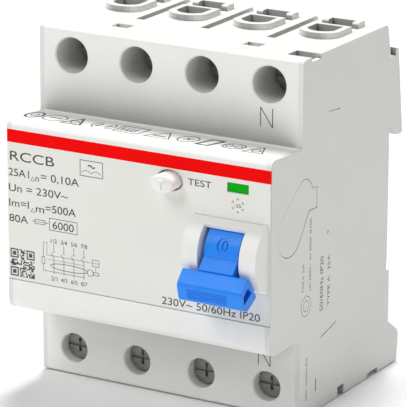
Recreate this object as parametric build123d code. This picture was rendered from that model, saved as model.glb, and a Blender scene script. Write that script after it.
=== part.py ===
"""Four-pole residual current circuit breaker for a 35 mm rail, switched off.

Millimetres. X runs to the right, Y to the rear (the rail side), Z up.
The origin is the middle of the rail seat on the housing's rear face.
"""
from build123d import *
import os
from math import cos, radians, sin

# Driving dimensions of the case
MODULE = 17.5                       # pitch of the poles, one standard module
POLES = 4
HALF = POLES * MODULE / 2           # half of the width over the side walls
TOP = 43.7
BOTTOM = -41.3
FRONT = -57.4                       # face of the raised front
SHOULDER = -43.0                    # face of the terminal shoulders
RAISED_TOP = 24.1
RAISED_BOTTOM = -22.0
SIDE_WALL = 1.2
WALL = 1.6
INNER = HALF - SIDE_WALL            # half of the room between the side walls
SEAM = -41.5                        # where the front cover meets the housing
REAR_WALL = -0.2                    # rear face beside the rail seat pad
REAR_INNER = -1.8
POLE_X = [MODULE * (i - (POLES - 1) / 2) for i in range(POLES)]
GAPS_X = [MODULE * (i - (POLES - 2) / 2) for i in range(POLES - 1)]

# Front label and its windows
LABEL_TOP = 21.9
LABEL_BOTTOM = -14.5
LABEL_THICK = 0.4
LABEL_GAP = 0.2                     # open joint under the label's lower edge
LABEL_BACK = FRONT + LABEL_THICK
STATUS_X = (23.8, 29.4)
STATUS_Z = (15.5, 17.8)
FLAG_ROOM_X = (23.2, 30.0)          # hole behind the label that the status flag slides in
FLAG_ROOM_Z = (11.5, 21.8)
FLAG_X = (23.3, 29.9)
FLAG_Z = (11.9, 18.4)
BUTTON_X = 8.94
BUTTON_Z = 15.94
BUTTON_HOLE = (3.42, 2.52)          # half axes of the oval hole
BUTTON_CAP = (3.0, 2.12)

# Handle, its bezel and its pin
PIVOT_Y = -54.7
PIVOT_Z = 1.1
BEZEL_R = 8.5
BEZEL_X = (15.4, 34.4)
OPENING_X = (19.5, 30.15)
OPENING_R = 7.55
OPENING_HALF_ANGLE = 53
DRUM_R = 7.25
DRUM_X = (20.5, 29.3)
GRIP_X = (16.6, 33.2)
PIN_R = 1.25
FIT = 0.05                          # radial running clearance
CRANK_R = 9.0
CRANK_ANGLE = 154                   # from straight ahead, over the top, switched off
CRANK_X = (24.2, 25.6)
LINK_X = (22.9, 23.9)
LINK_SLOPE = 22.7

# Terminals: the line side is at the top, the load side at the bottom
LINE_Z = 37.2
LOAD_Z = -34.55
LINE_HOLE_R = 4.32
LOAD_HOLE_R = 3.62
LOAD_SHIFT = -6.9                   # the load terminals sit this much further forward
SCREW_HEAD = (-33.2, -30.5)
HEAD_R = 3.35
SHANK_R = 2.4
BAR_Y = (-23.6, -22.1)              # conductor bar that the wire is clamped to
BAR_REAR_Y = (-12.9, -11.9)         # second leg, for the busbar
CAGE_Y = (-26.2, -5.9)
CAGE_MIDDLE_Y = (-14.4, -13.2)
CAGE_FRONT_WALL = 2.4
CAGE_HALF_X = 4.6
CAGE_SIDE = 0.8
CAGE_HALF_Z = 4.2
WELL_R = 4.85                       # outside of the screwdriver tubes
LINE_WELL_END = -31.0
LOAD_WELL_END = -38.2
WELL_CHAMFER = 0.3

# Entries in the top and bottom: half width, rear, start of the front arc, front
WIRE_ENTRY = (3.5, -14.1, -18.7, -20.8)
WIRE_RIM = (5.05, -12.95, -19.75, -22.7)
BUSBAR_ENTRY_Y = (-11.9, -7.1)
BUSBAR_HALF_X = 3.1
FRAME_HALF_X = 4.8                  # low frame on three sides of the busbar slot
FRAME_Y = (-9.2, -6.0)
FRAME_ROUND = 0.6
RIM_HEIGHT = 1.4
BARRIER_SLOT_Y = (-26.8, 1.0)       # slots between the poles, open to the rear
BARRIER_SLOT_HALF = 1.1

PORT_GAP = 0.16                     # joint round the accessory port's cover

# Shallow marks in the right side wall, as (y, z, length, slope)
MARK_DEPTH = 0.2
MARK_WIDTH = 0.35
SIDE_MARKS = ((-28.0, 29.25, 5.0, -5.7), (-29.35, -23.1, 7.5, 13.9), (-35.2, -34.9, 3.3, 90))
SIDE_DOT = (-30.4, 0.8, 0.45)       # y, z, radius

# Contacts
SHAFT_Y = -17.0
SHAFT_Z = 9.0
SHAFT_R = 3.2
OPEN_ANGLE = -28                    # contact shaft when switched off
ARM_LENGTH = 13.0

# Residual current part
CORE_Z = -12.0
CORE_Y = (-24.0, -13.0)
RELAY_X = (16.5, 31.5)
RELAY_Y = (-24.5, -9.0)
RELAY_Z = (-26.0, -8.0)
PLUNGER_X = 24.0
PLUNGER_Z = -9.5
LATCH_PIVOT = (-46.0, -12.0)
TRIP_PIVOT = (-36.5, -13.0)
FRAME_PLATE_X = ((19.25, 20.05), (29.6, 30.4))
RELAY_COIL_X = 24.6
RELAY_COIL_Y = -16.8

# Rail clips
CLIP_X = (-MODULE, MODULE)
CLIP_Y = (1.5, 3.7)
CLIP_HALF_X = 7.0


def block(x, y, z):
    """Box between two corners, given as (low, high) along each axis."""
    size = (x[1] - x[0], y[1] - y[0], z[1] - z[0])
    middle = ((x[0] + x[1]) / 2, (y[0] + y[1]) / 2, (z[0] + z[1]) / 2)
    return Pos(*middle) * Box(*size)


def rod_x(y, z, r, x):
    return Pos((x[0] + x[1]) / 2, y, z) * Rot(0, 90, 0) * Cylinder(r, x[1] - x[0])


def rod_y(x, z, r, y):
    return Pos(x, (y[0] + y[1]) / 2, z) * Rot(90, 0, 0) * Cylinder(r, y[1] - y[0])


def rod_z(x, y, r, z):
    return Pos(x, y, (z[0] + z[1]) / 2) * Cylinder(r, z[1] - z[0])


def ring_y(x, z, r_out, r_in, y):
    return rod_y(x, z, r_out, y) - rod_y(x, z, r_in, (y[0] - 1, y[1] + 1))


def oval_y(x, z, half_axes, y):
    """Elliptic rod along Y."""
    face = Plane(origin=(x, y[0], z), x_dir=(1, 0, 0), z_dir=(0, -1, 0)) * Ellipse(*half_axes)
    return extrude(face, y[1] - y[0], dir=(0, 1, 0))


def slab_x(corners, x):
    """Plate across X from corners (y, z, fillet radius)."""
    points = [(x[0], y, z) for y, z, _ in corners]
    radii = [r for _, _, r in corners]
    outline = FilletPolyline(*points, radius=radii, close=True)
    return extrude(make_face(outline), x[1] - x[0], dir=(1, 0, 0))


def on_pivot(r, angle):
    """Point (y, z) at radius r about the handle pin, the angle taken from straight ahead, upwards."""
    return (PIVOT_Y - r * cos(radians(angle)), PIVOT_Z + r * sin(radians(angle)))


def group(shapes):
    return Compound([solid for shape in shapes for solid in shape.solids()])


def coil(pitch, height, r, wire_r, start, direction):
    """Coil spring, as one solid."""
    path = Helix(pitch, height, r, center=start, direction=direction)
    section = Plane(origin=path @ 0, z_dir=path % 0) * Circle(wire_r)
    return sweep(section, path=path, is_frenet=True)


# Outlines of the case, as (y, z, fillet radius)

def front_corners(step):
    """From the top of the upper shoulder down to the bottom of the lower one."""
    return [
        (SHOULDER, TOP, 1.2),
        (SHOULDER, 23.1, 0.5),
        (FRONT, RAISED_TOP, 2.0),
        (FRONT, LABEL_TOP, 0),
        (FRONT + step, LABEL_TOP, 0),
        (FRONT + step, LABEL_BOTTOM, 0),
        (FRONT, LABEL_BOTTOM, 0),
        (FRONT, RAISED_BOTTOM, 2.5),
        (SHOULDER, RAISED_BOTTOM + 0.4, 1.5),
        (SHOULDER, BOTTOM, 1.0),
    ]


def rear_corners():
    """From the lower rear corner up past the rail seat, the claw and its notch."""
    return [
        (6.2, BOTTOM, 0.4),
        (6.8, -34.7, 0.8),
        (6.05, -33.3, 0.5),
        (1.3, -30.1, 0.5),
        (1.3, -17.0, 0.3),
        (REAR_WALL, -17.0, 0),
        (REAR_WALL, 18.7, 0),
        (1.26, 18.7, 0),
        (3.8, 15.9, 0.3),
        (6.75, 15.7, 0.8),
        (4.0, 37.0, 0.5),
        (2.6, 37.3, 0),
        (2.6, 35.5, 0),
        (-0.1, 35.5, 0),
        (-0.5, 38.2, 0),
        (-1.6, TOP - 0.6, 0),
        (-2.2, TOP, 0),
    ]


# Rear housing

def housing_room():
    """Room inside the housing, with the hollow behind the upper claw."""
    corners = [
        (-60, TOP - WALL, 0),
        (-3.8, TOP - WALL, 0),
        (-2.1, 36.8, 0),
        (REAR_INNER, 34.0, 0),
        (2.8, 34.0, 0),
        (4.9, 21.0, 0),
        (REAR_INNER, 20.5, 0),
        (REAR_INNER, BOTTOM + WALL, 0),
        (-60, BOTTOM + WALL, 0),
    ]
    return slab_x(corners, (-INNER, INNER))


def entry_prism(x, outline, z, shift=0.0):
    """Prism of a cable entry: square at the rear, a shallow arc at the front."""
    half, rear, bend, front = outline
    flanks = Polyline((-half, bend), (-half, rear), (half, rear), (half, bend))
    arc = ThreePointArc((half, bend), (0, front), (-half, bend))
    face = Plane(origin=(x, shift, z[0])) * make_face(flanks.edges() + arc.edges())
    return extrude(face, z[1] - z[0])


def busbar_frame(x):
    """Low frame round the busbar slot, open to the front."""
    corners = [
        (FRAME_Y[0], TOP, 0),
        (FRAME_Y[0], TOP + RIM_HEIGHT, FRAME_ROUND),
        (FRAME_Y[1], TOP + RIM_HEIGHT, 0),
        (FRAME_Y[1], TOP, 0),
    ]
    frame = slab_x(corners, (x - FRAME_HALF_X, x + FRAME_HALF_X))
    room_y = (FRAME_Y[0] - 1, BUSBAR_ENTRY_Y[1])
    return frame - block((x - BUSBAR_HALF_X, x + BUSBAR_HALF_X), room_y, (TOP, TOP + RIM_HEIGHT + 1))


def top_details(body):
    """Cable rims, busbar frames and barrier slots on the top face."""
    for x in POLE_X:
        body += entry_prism(x, WIRE_RIM, (TOP, TOP + RIM_HEIGHT))
        body += busbar_frame(x)
    through = (TOP - WALL - 1, TOP + RIM_HEIGHT + 1)
    for x in POLE_X:
        body -= entry_prism(x, WIRE_ENTRY, through)
        body -= block((x - BUSBAR_HALF_X, x + BUSBAR_HALF_X), BUSBAR_ENTRY_Y, through)
    for x in GAPS_X:
        slot_x = (x - BARRIER_SLOT_HALF, x + BARRIER_SLOT_HALF)
        body -= block(slot_x, BARRIER_SLOT_Y, (TOP - WALL, TOP + 1))
    return body


def bottom_details(body):
    """Load cable and busbar slots, and the notches in the lower edge."""
    through = (BOTTOM - 1, BOTTOM + WALL + 1)
    for x in POLE_X:
        body -= entry_prism(x, WIRE_ENTRY, through, LOAD_SHIFT)
        body -= block((x - BUSBAR_HALF_X, x + BUSBAR_HALF_X), shifted(BUSBAR_ENTRY_Y, LOAD_SHIFT), through)
    for side in (-1, 1):
        edge = sorted((side * (HALF - 2.0), side * (HALF + 1)))
        body -= block(edge, (-24.3, -21.2), (BOTTOM - 1, BOTTOM + 2.4))
        body -= block(edge, (-9.3, -3.9), (BOTTOM - 1, BOTTOM + 1.1))
    return body


def snap_windows(body):
    """Windows in the top face that the cover's tongues snap into."""
    for x in (-MODULE, MODULE):
        body -= block((x - 2.2, x + 2.2), (-36.0, -33.0), (TOP - WALL - 1, TOP + 1))
    body -= block((28.7, HALF + 1), (-39.0, -34.6), (TOP - 1.0, TOP + 1))
    return body - block((28.7, INNER), (-39.0, -34.6), (TOP - WALL - 1, TOP))


def port_outline(grow):
    """Accessory port in the side wall: two round ends joined by straight flanks."""
    upper = Pos(-41.8, 12.0) * Circle(4.0 + grow)
    lower = Pos(-48.4, 5.1) * Circle(5.5 + grow)
    tab = Pos(-38.6, 10.6) * Rectangle(5.4 + 2 * grow, 4.8 + 2 * grow)
    return make_hull(upper.edges() + lower.edges()) + tab


def port_block(grow, x):
    plane = Plane(origin=(x[0], 0, 0), x_dir=(0, 1, 0), z_dir=(1, 0, 0))
    return extrude(plane * port_outline(grow), x[1] - x[0])


def clip_channel(x):
    """Guides, lips and spring peg that hold one rail clip."""
    channel = block((x - 2.3, x + 2.3), (REAR_WALL, 3.6), (-34.0, -32.0))
    for side in (-1, 1):
        rib = sorted((x + side * 4.5, x + side * 6.3))
        wall = sorted((x + side * (CLIP_HALF_X + 0.1), x + side * 8.9))
        lip = sorted((x + side * 5.6, x + side * 8.9))
        channel += block(rib, (REAR_WALL, CLIP_Y[0] - 0.05), (-38.0, -20.9))
        channel += block(wall, (REAR_WALL, CLIP_Y[1] + 1.5), (-38.0, -20.0))
        channel += block(lip, (CLIP_Y[1] + 0.1, CLIP_Y[1] + 1.5), (-38.0, -20.0))
    return channel


def side_marks(body):
    """Shallow moulded marks in the right side wall."""
    for y, z, length, slope in SIDE_MARKS:
        body -= Pos(HALF, y, z) * Rot(slope, 0, 0) * Box(2 * MARK_DEPTH, length, MARK_WIDTH)
    y, z, r = SIDE_DOT
    return body - rod_x(y, z, r, (HALF - MARK_DEPTH, HALF + 1))


def shaft_bearings():
    """Bosses on the side walls that carry the contact shaft."""
    bosses = []
    for side in (-1, 1):
        span = sorted((side * 32.1, side * INNER))
        boss = block(span, (SHAFT_Y - 3, SHAFT_Y + 3), (SHAFT_Z - 3, SHAFT_Z + 3))
        bosses.append(boss - rod_x(SHAFT_Y, SHAFT_Z, 1.5 + FIT, span))
    return bosses


def base_housing():
    body = slab_x(front_corners(LABEL_THICK) + rear_corners(), (-HALF, HALF))
    body -= housing_room()
    body -= block((-INNER, INNER), (-60, SEAM), (BOTTOM - 1, TOP + 1))
    body -= block((-33.0, 33.0), (REAR_WALL, 10), (BOTTOM - 1, -17.0))
    body += block((-1.5, 1.5), (REAR_WALL, 6.2), (BOTTOM, -31.0))
    for x in CLIP_X:
        body += clip_channel(x)
    for boss in shaft_bearings():
        body += boss
    body += block((-HALF, HALF), (REAR_WALL, 0), (-14.3, 15.4))
    body = top_details(body)
    body = bottom_details(body)
    body = snap_windows(body)
    body = side_marks(body)
    return body - port_block(PORT_GAP, (INNER - 1, HALF + 1))


def accessory_port_cover():
    return port_block(0, (INNER, HALF - 0.06)) + port_block(0.9, (INNER - 0.8, INNER))


# Front cover

def cover_shell():
    """Bent front wall between the side walls, open to the rear."""
    outer = [(SEAM, TOP, 0)] + front_corners(LABEL_THICK) + [(SEAM, BOTTOM, 0)]
    inner = [
        (SEAM + 1, TOP - WALL, 0),
        (SEAM, TOP - WALL, 0),
        (SEAM, RAISED_TOP - WALL - 0.9, 0),
        (LABEL_BACK + WALL, RAISED_TOP - WALL, 0.8),
        (LABEL_BACK + WALL, RAISED_BOTTOM + WALL, 0.8),
        (SEAM, RAISED_BOTTOM + WALL + 0.3, 0),
        (SEAM, BOTTOM + WALL, 0),
        (SEAM + 1, BOTTOM + WALL, 0),
    ]
    return slab_x(outer, (-INNER, INNER)) - slab_x(inner, (-INNER, INNER))


def bezel(cover):
    """Round bulge over the handle's drum, with its opening and the lugs for the pin."""
    bulge = rod_x(PIVOT_Y, PIVOT_Z, BEZEL_R, BEZEL_X)
    bulge &= block(BEZEL_X, (FRONT - 10, LABEL_BACK), (-20, 20))
    cover += bulge
    for ends in ((17.4, OPENING_X[0] - 0.3), (OPENING_X[1] + 0.3, 32.3)):
        cover += block(ends, (LABEL_BACK + WALL - 0.1, -51.2), (PIVOT_Z - 3.6, PIVOT_Z + 3.6))
    room = rod_x(PIVOT_Y, PIVOT_Z, OPENING_R, OPENING_X)
    wedge = [(PIVOT_Y, PIVOT_Z, 0)]
    for angle in (-OPENING_HALF_ANGLE - 7, -20, 20, OPENING_HALF_ANGLE):
        wedge.append((*on_pivot(14, angle), 0))
    cover -= room
    cover -= slab_x(wedge, OPENING_X)
    cover -= rod_x(PIVOT_Y, PIVOT_Z, PIN_R + 0.02, (17.9, 31.8))
    return cover


def screw_wells(cover):
    """Tubes that lead a screwdriver to the terminal screws."""
    for x in POLE_X:
        for z, r, depth in ((LINE_Z, LINE_HOLE_R, LINE_WELL_END), (LOAD_Z, LOAD_HOLE_R, LOAD_WELL_END)):
            cover += rod_y(x, z, WELL_R, (SHOULDER + 0.5, depth))
            cover -= rod_y(x, z, r, (SHOULDER - 1, depth + 1))
            mouth = Cone(r, r + WELL_CHAMFER, WELL_CHAMFER)
            cover -= Pos(x, SHOULDER + WELL_CHAMFER / 2, z) * Rot(90, 0, 0) * mouth
    return cover


def cover_tongues():
    """Sprung tongues that snap into the windows of the top face."""
    tongues = []
    for x in (-MODULE, MODULE):
        arm = block((x - 2.0, x + 2.0), (SEAM, -33.2), (TOP - WALL - 1.3, TOP - WALL - 0.1))
        hook = block((x - 2.0, x + 2.0), (-35.9, -33.2), (TOP - WALL - 0.2, TOP - 0.9))
        tongues.append(arm + hook + block((x - 2.0, x + 2.0), (-42.5, SEAM), (40.6, 42.0)))
    return tongues


def flag_rails():
    rails = []
    for x in ((22.4, 23.2), (30.0, 30.8)):
        rails.append(block(x, (LABEL_BACK + WALL - 0.1, -54.3), (11.0, 22.0)))
    return rails


def front_cover():
    cover = cover_shell()
    cover = screw_wells(cover)
    for piece in cover_tongues() + flag_rails():
        cover += piece
    for x in (-14.0, 13.4):
        cover += block((x - 0.5, x + 0.5), (LABEL_BACK + WALL - 0.1, -48.5), (-20.0, 21.5))
    cover = bezel(cover)
    cover -= oval_y(BUTTON_X, BUTTON_Z, BUTTON_HOLE, (FRONT - 1, -55))
    cover -= block(FLAG_ROOM_X, (FRONT - 1, -55), FLAG_ROOM_Z)
    return cover


def front_label():
    plate_z = (LABEL_BOTTOM + LABEL_GAP, LABEL_TOP)
    plate = block((-HALF + 0.1, HALF - 0.1), (FRONT, LABEL_BACK), plate_z)
    half_chord = (BEZEL_R ** 2 - (LABEL_BACK - PIVOT_Y) ** 2) ** 0.5
    bezel_z = (PIVOT_Z - half_chord, PIVOT_Z + half_chord)
    plate -= block(BEZEL_X, (FRONT - 1, LABEL_BACK + 1), bezel_z)
    plate -= oval_y(BUTTON_X, BUTTON_Z, BUTTON_HOLE, (FRONT - 1, LABEL_BACK + 1))
    plate -= block(STATUS_X, (FRONT - 1, LABEL_BACK + 1), STATUS_Z)
    return plate


def window_lens():
    return block(STATUS_X, (FRONT + 0.04, LABEL_BACK - 0.02), STATUS_Z)


# Handle and its linkage

def grip():
    """Crosswise bar that the finger moves, hollow, with fine ribs low on its face."""
    corners = [
        (-64.3, -1.3, 0.5),
        (-67.2, -4.5, 1.6),
        (-66.2, -8.4, 1.2),
        (-64.4, -9.0, 0.5),
        (-60.4, -6.7, 0.3),
    ]
    hollow = [
        (-64.1, -3.5, 0.2),
        (-66.1, -5.1, 0.3),
        (-66.0, -7.2, 0.2),
        (-62.5, -5.1, 0.2),
    ]
    bar = slab_x(corners, GRIP_X)
    for ends in ((GRIP_X[0] - 1, GRIP_X[0] + 3.2), (GRIP_X[1] - 3.2, GRIP_X[1] + 1)):
        bar -= slab_x(hollow, ends)
    for i in range(5):
        along = 0.25 + 0.13 * i
        y = -67.2 + (-66.2 + 67.2) * along
        z = -4.5 + (-8.4 + 4.5) * along
        bar -= block((19.0, 29.2), (y - 1, y + 0.13), (z - 0.11, z + 0.11))
    return bar


def drum_marks(drum):
    """A 0 inside an open ring, and an I, cut into the drum."""
    for angle, mark in ((25, "0"), (-78, "I")):
        y, z = on_pivot(DRUM_R + 1, angle)
        facing = Plane(
            origin=(24.9 + 0.7, y, z),
            x_dir=(1, 0, 0),
            z_dir=(0, -cos(radians(angle)), sin(radians(angle))),
        )
        stroke = Ellipse(0.75, 1.15) - Ellipse(0.5, 0.9)
        if mark == "I":
            stroke = Rectangle(0.3, 2.3)
        ring = Circle(1.95) - Circle(1.7) - Pos(1.6, -0.4) * Rectangle(2.6, 4.4)
        drum -= extrude(facing * (stroke + ring), -1.25)
    return drum


def toggle_lever():
    """Drum, neck and grip bar, moulded in one piece."""
    drum = rod_x(PIVOT_Y, PIVOT_Z, DRUM_R, DRUM_X)
    drum = drum_marks(drum)
    neck = [
        (PIVOT_Y, PIVOT_Z, 0),
        (*on_pivot(DRUM_R + 0.1, 0), 0),
        (-64.3, -1.3, 0),
        (-61.0, -6.2, 0),
        (*on_pivot(DRUM_R, -53), 0),
    ]
    lever = drum + slab_x(neck, DRUM_X) + grip()
    lever -= rod_x(PIVOT_Y, PIVOT_Z, PIN_R + FIT, (DRUM_X[0] - 1, DRUM_X[1] + 1))
    lever -= rod_x(PIVOT_Y, PIVOT_Z, 3.2, (DRUM_X[0] - 1, 23.6))
    slot_x = (CRANK_X[0], CRANK_X[1])
    lever -= crank_blank(slot_x, 2.2)
    lever -= block((22.6, 26.2), (PIVOT_Y + 3.4, PIVOT_Y + 9), (PIVOT_Z - 8, PIVOT_Z + 9))
    return lever


def crank_blank(x, half_width):
    """Straight bar from the pin to the crank end."""
    tip_y, tip_z = on_pivot(CRANK_R, CRANK_ANGLE)
    side_y = half_width * sin(radians(CRANK_ANGLE))
    side_z = half_width * cos(radians(CRANK_ANGLE))
    corners = [
        (PIVOT_Y - side_y, PIVOT_Z - side_z, 0),
        (tip_y - side_y, tip_z - side_z, 0),
        (tip_y + side_y, tip_z + side_z, 0),
        (PIVOT_Y + side_y, PIVOT_Z + side_z, 0),
    ]
    return slab_x(corners, x) + rod_x(PIVOT_Y, PIVOT_Z, half_width, x) + rod_x(tip_y, tip_z, half_width, x)


def toggle_crank():
    tip_y, tip_z = on_pivot(CRANK_R, CRANK_ANGLE)
    crank = crank_blank(CRANK_X, 2.2)
    crank -= rod_x(PIVOT_Y, PIVOT_Z, PIN_R + FIT, (CRANK_X[0] - 1, CRANK_X[1] + 1))
    return crank + rod_x(tip_y, tip_z, 0.8, (LINK_X[0] - 0.4, CRANK_X[0]))


def toggle_pin():
    return rod_x(PIVOT_Y, PIVOT_Z, PIN_R, (18.0, 31.7))


def toggle_spring():
    start = (20.9, PIVOT_Y, PIVOT_Z)
    return coil(0.62, 2.2, 2.2, 0.25, start, (1, 0, 0))


def operating_link():
    """Flat link from the crank to the arm of the contact shaft, slotted at the rear."""
    reach = 19.0
    link = block(LINK_X, (0, reach), (-2.2, 2.2))
    link += rod_x(0, 0, 2.2, LINK_X)
    link += rod_x(reach, 0, 2.6, LINK_X)
    link -= rod_x(0, 0, 0.8 + FIT, (LINK_X[0] - 1, LINK_X[1] + 1))
    slot = block((LINK_X[0] - 1, LINK_X[1] + 1), (reach - 1.6, reach + 0.2), (-1.4, 1.4))
    slot += rod_x(reach - 1.6, 0, 1.4, (LINK_X[0] - 1, LINK_X[1] + 1))
    slot += rod_x(reach + 0.2, 0, 1.4, (LINK_X[0] - 1, LINK_X[1] + 1))
    tip_y, tip_z = on_pivot(CRANK_R, CRANK_ANGLE)
    return Pos(0, tip_y, tip_z) * Rot(LINK_SLOPE, 0, 0) * (link - slot)


def mechanism_frame():
    """Steel side plates and floor that carry the latch and the trip lever."""
    corners = [
        (-50.9, -17.5, 0),
        (-50.9, 8.5, 2.0),
        (-48.0, 10.5, 1.0),
        (-31.0, 10.5, 2.0),
        (-31.0, -17.5, 0),
    ]
    frame = block((19.25, 30.4), (-50.9, -31.0), (-18.3, -17.5))
    for x in FRAME_PLATE_X:
        frame += slab_x(corners, x)
    frame += block((19.25, 30.4), (-48.0, -45.5), (10.5 - 0.8, 10.5))
    for y, z in (LATCH_PIVOT, TRIP_PIVOT):
        frame -= rod_x(y, z, 1.0 + 0.03, (18, 32))
    return frame


def linkage_pins():
    return group([rod_x(y, z, 1.0, (19.0, 30.65)) for y, z in (LATCH_PIVOT, TRIP_PIVOT)])


def latch_lever():
    y, z = LATCH_PIVOT
    lever = rod_x(y, z, 2.2, (22.6, 26.4))
    lever += block((23.2, 25.8), (y, -41.0), (z + 0.2, z + 1.8))
    lever += block((23.2, 25.8), (y - 1.2, y + 0.6), (z, z + 5.2))
    return lever - rod_x(y, z, 1.0 + FIT, (22, 27))


def trip_lever():
    y, z = TRIP_PIVOT
    lever = rod_x(y, z, 2.0, (22.4, 25.6))
    lever += block((22.8, 25.2), (-37.3, -35.7), (z, z + 6.5))
    lever += block((23.4, 25.2), (-42.2, y), (z - 0.8, z + 0.8))
    return lever - rod_x(y, z, 1.0 + FIT, (22, 27))


# Contacts

def opened(shape):
    """Turn a piece of the contact system from closed to open."""
    axis = Pos(0, SHAFT_Y, SHAFT_Z)
    return axis * Rot(OPEN_ANGLE, 0, 0) * axis.inverse() * shape


def finger(x, grow):
    y = (SHAFT_Y - 3.4 - grow, SHAFT_Y - 2.2 + grow)
    return block((x - 1.5 - grow, x + 1.5 + grow), y, (SHAFT_Z - 2.5 - grow, 25.0))


def contact_shaft():
    """Moulded shaft with a holder for each contact finger and the arm for the link."""
    shaft = rod_x(SHAFT_Y, SHAFT_Z, SHAFT_R, (-31.9, 31.9))
    shaft += rod_x(SHAFT_Y, SHAFT_Z, 1.5, (-33.2, 33.2))
    for x in POLE_X:
        shaft += block((x - 3, x + 3), (SHAFT_Y - 4.4, SHAFT_Y + 1), (SHAFT_Z - 4, SHAFT_Z + 4.5))
    arm = block(CRANK_X, (-ARM_LENGTH, 0), (-1.6, 1.6))
    arm += rod_x(-ARM_LENGTH, 0, 1.6, CRANK_X)
    arm += rod_x(-ARM_LENGTH, 0, 0.7, (LINK_X[0] - 0.2, CRANK_X[0]))
    shaft += Pos(0, SHAFT_Y, SHAFT_Z) * Rot(14, 0, 0) * arm
    for x in POLE_X:
        shaft -= finger(x, 0)
        shaft -= rod_y(x, SHAFT_Z + 2, 1.35, (SHAFT_Y - 2.3, SHAFT_Y + 0.4))
    return opened(shaft)


def moving_contacts():
    return opened(group([finger(x, 0) for x in POLE_X]))


def moving_contact_tips():
    tips = [rod_y(x, 22.5, 1.7, (SHAFT_Y - 4.2, SHAFT_Y - 3.4)) for x in POLE_X]
    return opened(group(tips))


def contact_springs():
    start = (SHAFT_Y - 2.2 + 0.2)
    coils = [coil(0.7, 2.1, 1.05, 0.15, (x, start, SHAFT_Z + 2), (0, 1, 0)) for x in POLE_X]
    return opened(group(coils))


def fixed_contact_tips():
    return group([rod_y(x, 22.5, 1.7, (BAR_Y[1], BAR_Y[1] + 0.8)) for x in POLE_X])


def arc_chamber_frames():
    frames = []
    for x in POLE_X:
        outer = block((x - 5.8, x + 5.8), (-21.4, -12.4), (18.0, 30.8))
        frames.append(outer - block((x - 5.2, x + 5.2), (-22, -12), (17, 30.3)))
    return group(frames)


def arc_chamber_plates():
    plates = []
    for x in POLE_X:
        for i in range(5):
            y = -20.6 + 1.8 * i
            plates.append(block((x - 5.2, x + 5.2), (y, y + 0.6), (26.0, 30.3)))
    return group(plates)


# Terminals: side +1 is the line side, -1 the load side

def terminal_place(side):
    """Height of the screws and shift along Y on one side."""
    if side > 0:
        return LINE_Z, 0.0
    return LOAD_Z, LOAD_SHIFT


def shifted(span, shift):
    return (span[0] + shift, span[1] + shift)


def height_span(z, side, low, high):
    """Heights measured from the screw axis towards the outside of the case."""
    return sorted((z + side * low, z + side * high))


def terminal_bar(x, side):
    """Bar with a leg for the wire, a leg for the busbar and a lug that runs inwards."""
    z, shift = terminal_place(side)
    inner_end = -17.7 if side > 0 else -11.5
    wide = (x - 3.3, x + 3.3)
    web_y = (BAR_Y[0] + shift, BAR_REAR_Y[1] + shift)
    bar = block(wide, shifted(BAR_Y, shift), height_span(z, side, inner_end, 3.8))
    bar += block(wide, web_y, height_span(z, side, -6.2, -5.0))
    bar += block(wide, shifted(BAR_REAR_Y, shift), height_span(z, side, -6.2, 3.8))
    return bar


def terminal_bars():
    return group([terminal_bar(x, side) for side in (1, -1) for x in POLE_X])


def terminal_screw(x, side):
    """Cheese head with a slot and a cross, on a shank that bears on the bar."""
    z, shift = terminal_place(side)
    head = shifted(SCREW_HEAD, shift)
    screw = rod_y(x, z, HEAD_R, head)
    screw += rod_y(x, z, SHANK_R, (head[1], BAR_Y[0] + shift - 0.05))
    screw -= block((x - 5, x + 5), (head[0] - 1, head[0] + 0.6), (z - 0.45, z + 0.45))
    screw -= block((x - 0.4, x + 0.4), (head[0] - 1, head[0] + 0.9), (z - 1.7, z + 1.7))
    return screw


def terminal_cage(x, side):
    """Loop that is drawn forward by the screw and clamps the wire against the bar."""
    z, shift = terminal_place(side)
    span_z = (z - CAGE_HALF_Z, z + CAGE_HALF_Z)
    outer = shifted(CAGE_Y, shift)
    cage = block((x - CAGE_HALF_X, x + CAGE_HALF_X), outer, span_z)
    room_x = (x - CAGE_HALF_X + CAGE_SIDE, x + CAGE_HALF_X - CAGE_SIDE)
    wire_room = (outer[0] + CAGE_FRONT_WALL, CAGE_MIDDLE_Y[0] + shift)
    busbar_room = (CAGE_MIDDLE_Y[1] + shift, outer[1] - 1.2)
    for room in (wire_room, busbar_room):
        cage -= block(room_x, room, (z - 9, z + 9))
    return cage - rod_y(x, z, SHANK_R + FIT, (outer[0] - 1, outer[0] + 3))


# Residual current part

def core_case():
    case = ring_y(0, CORE_Z, 13.5, 7.4, CORE_Y)
    return case - ring_y(0, CORE_Z, 12.6, 8.3, (CORE_Y[0] + 1, CORE_Y[1] - 1))


def transformer_core():
    return ring_y(0, CORE_Z, 12.3, 8.6, (CORE_Y[0] + 1.3, CORE_Y[1] - 1.3))


def secondary_winding():
    """Turns wound through the ring, over two thirds of it."""
    turns = []
    y = (CORE_Y[0] - 0.05, CORE_Y[1] + 0.05)
    for i in range(18):
        outer = block((-0.3, 0.3), (y[0] - 0.5, y[1] + 0.5), (6.8, 14.1))
        turn = outer - block((-1, 1), y, (7.35, 13.56))
        turns.append(Pos(0, 0, CORE_Z) * Rot(0, 60 + 14 * i, 0) * turn)
    return group(turns)


def primary_conductors():
    """One insulated conductor for each pole, through the ring to its load bar."""
    wires = []
    for i, x in enumerate(POLE_X):
        side = -1 if x < 0 else 1
        outer_pole = i in (0, POLES - 1)
        z = CORE_Z - 2.2 if outer_pole else CORE_Z + 2.2
        rear = -5.6 if outer_pole else -9.4
        front = -27.3 if outer_pole else -32.15
        end = -27.5
        points = [
            (x, rear, 1.5),
            (x, rear, z),
            (side * 2.2, rear, z),
            (side * 2.2, front, z),
            (x, front, z),
            (x, front, end),
        ]
        path = FilletPolyline(*points, radius=2.2)
        section = Plane(origin=path @ 0, z_dir=path % 0) * Circle(1.5)
        wires.append(sweep(section, path=path))
    return group(wires)


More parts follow.
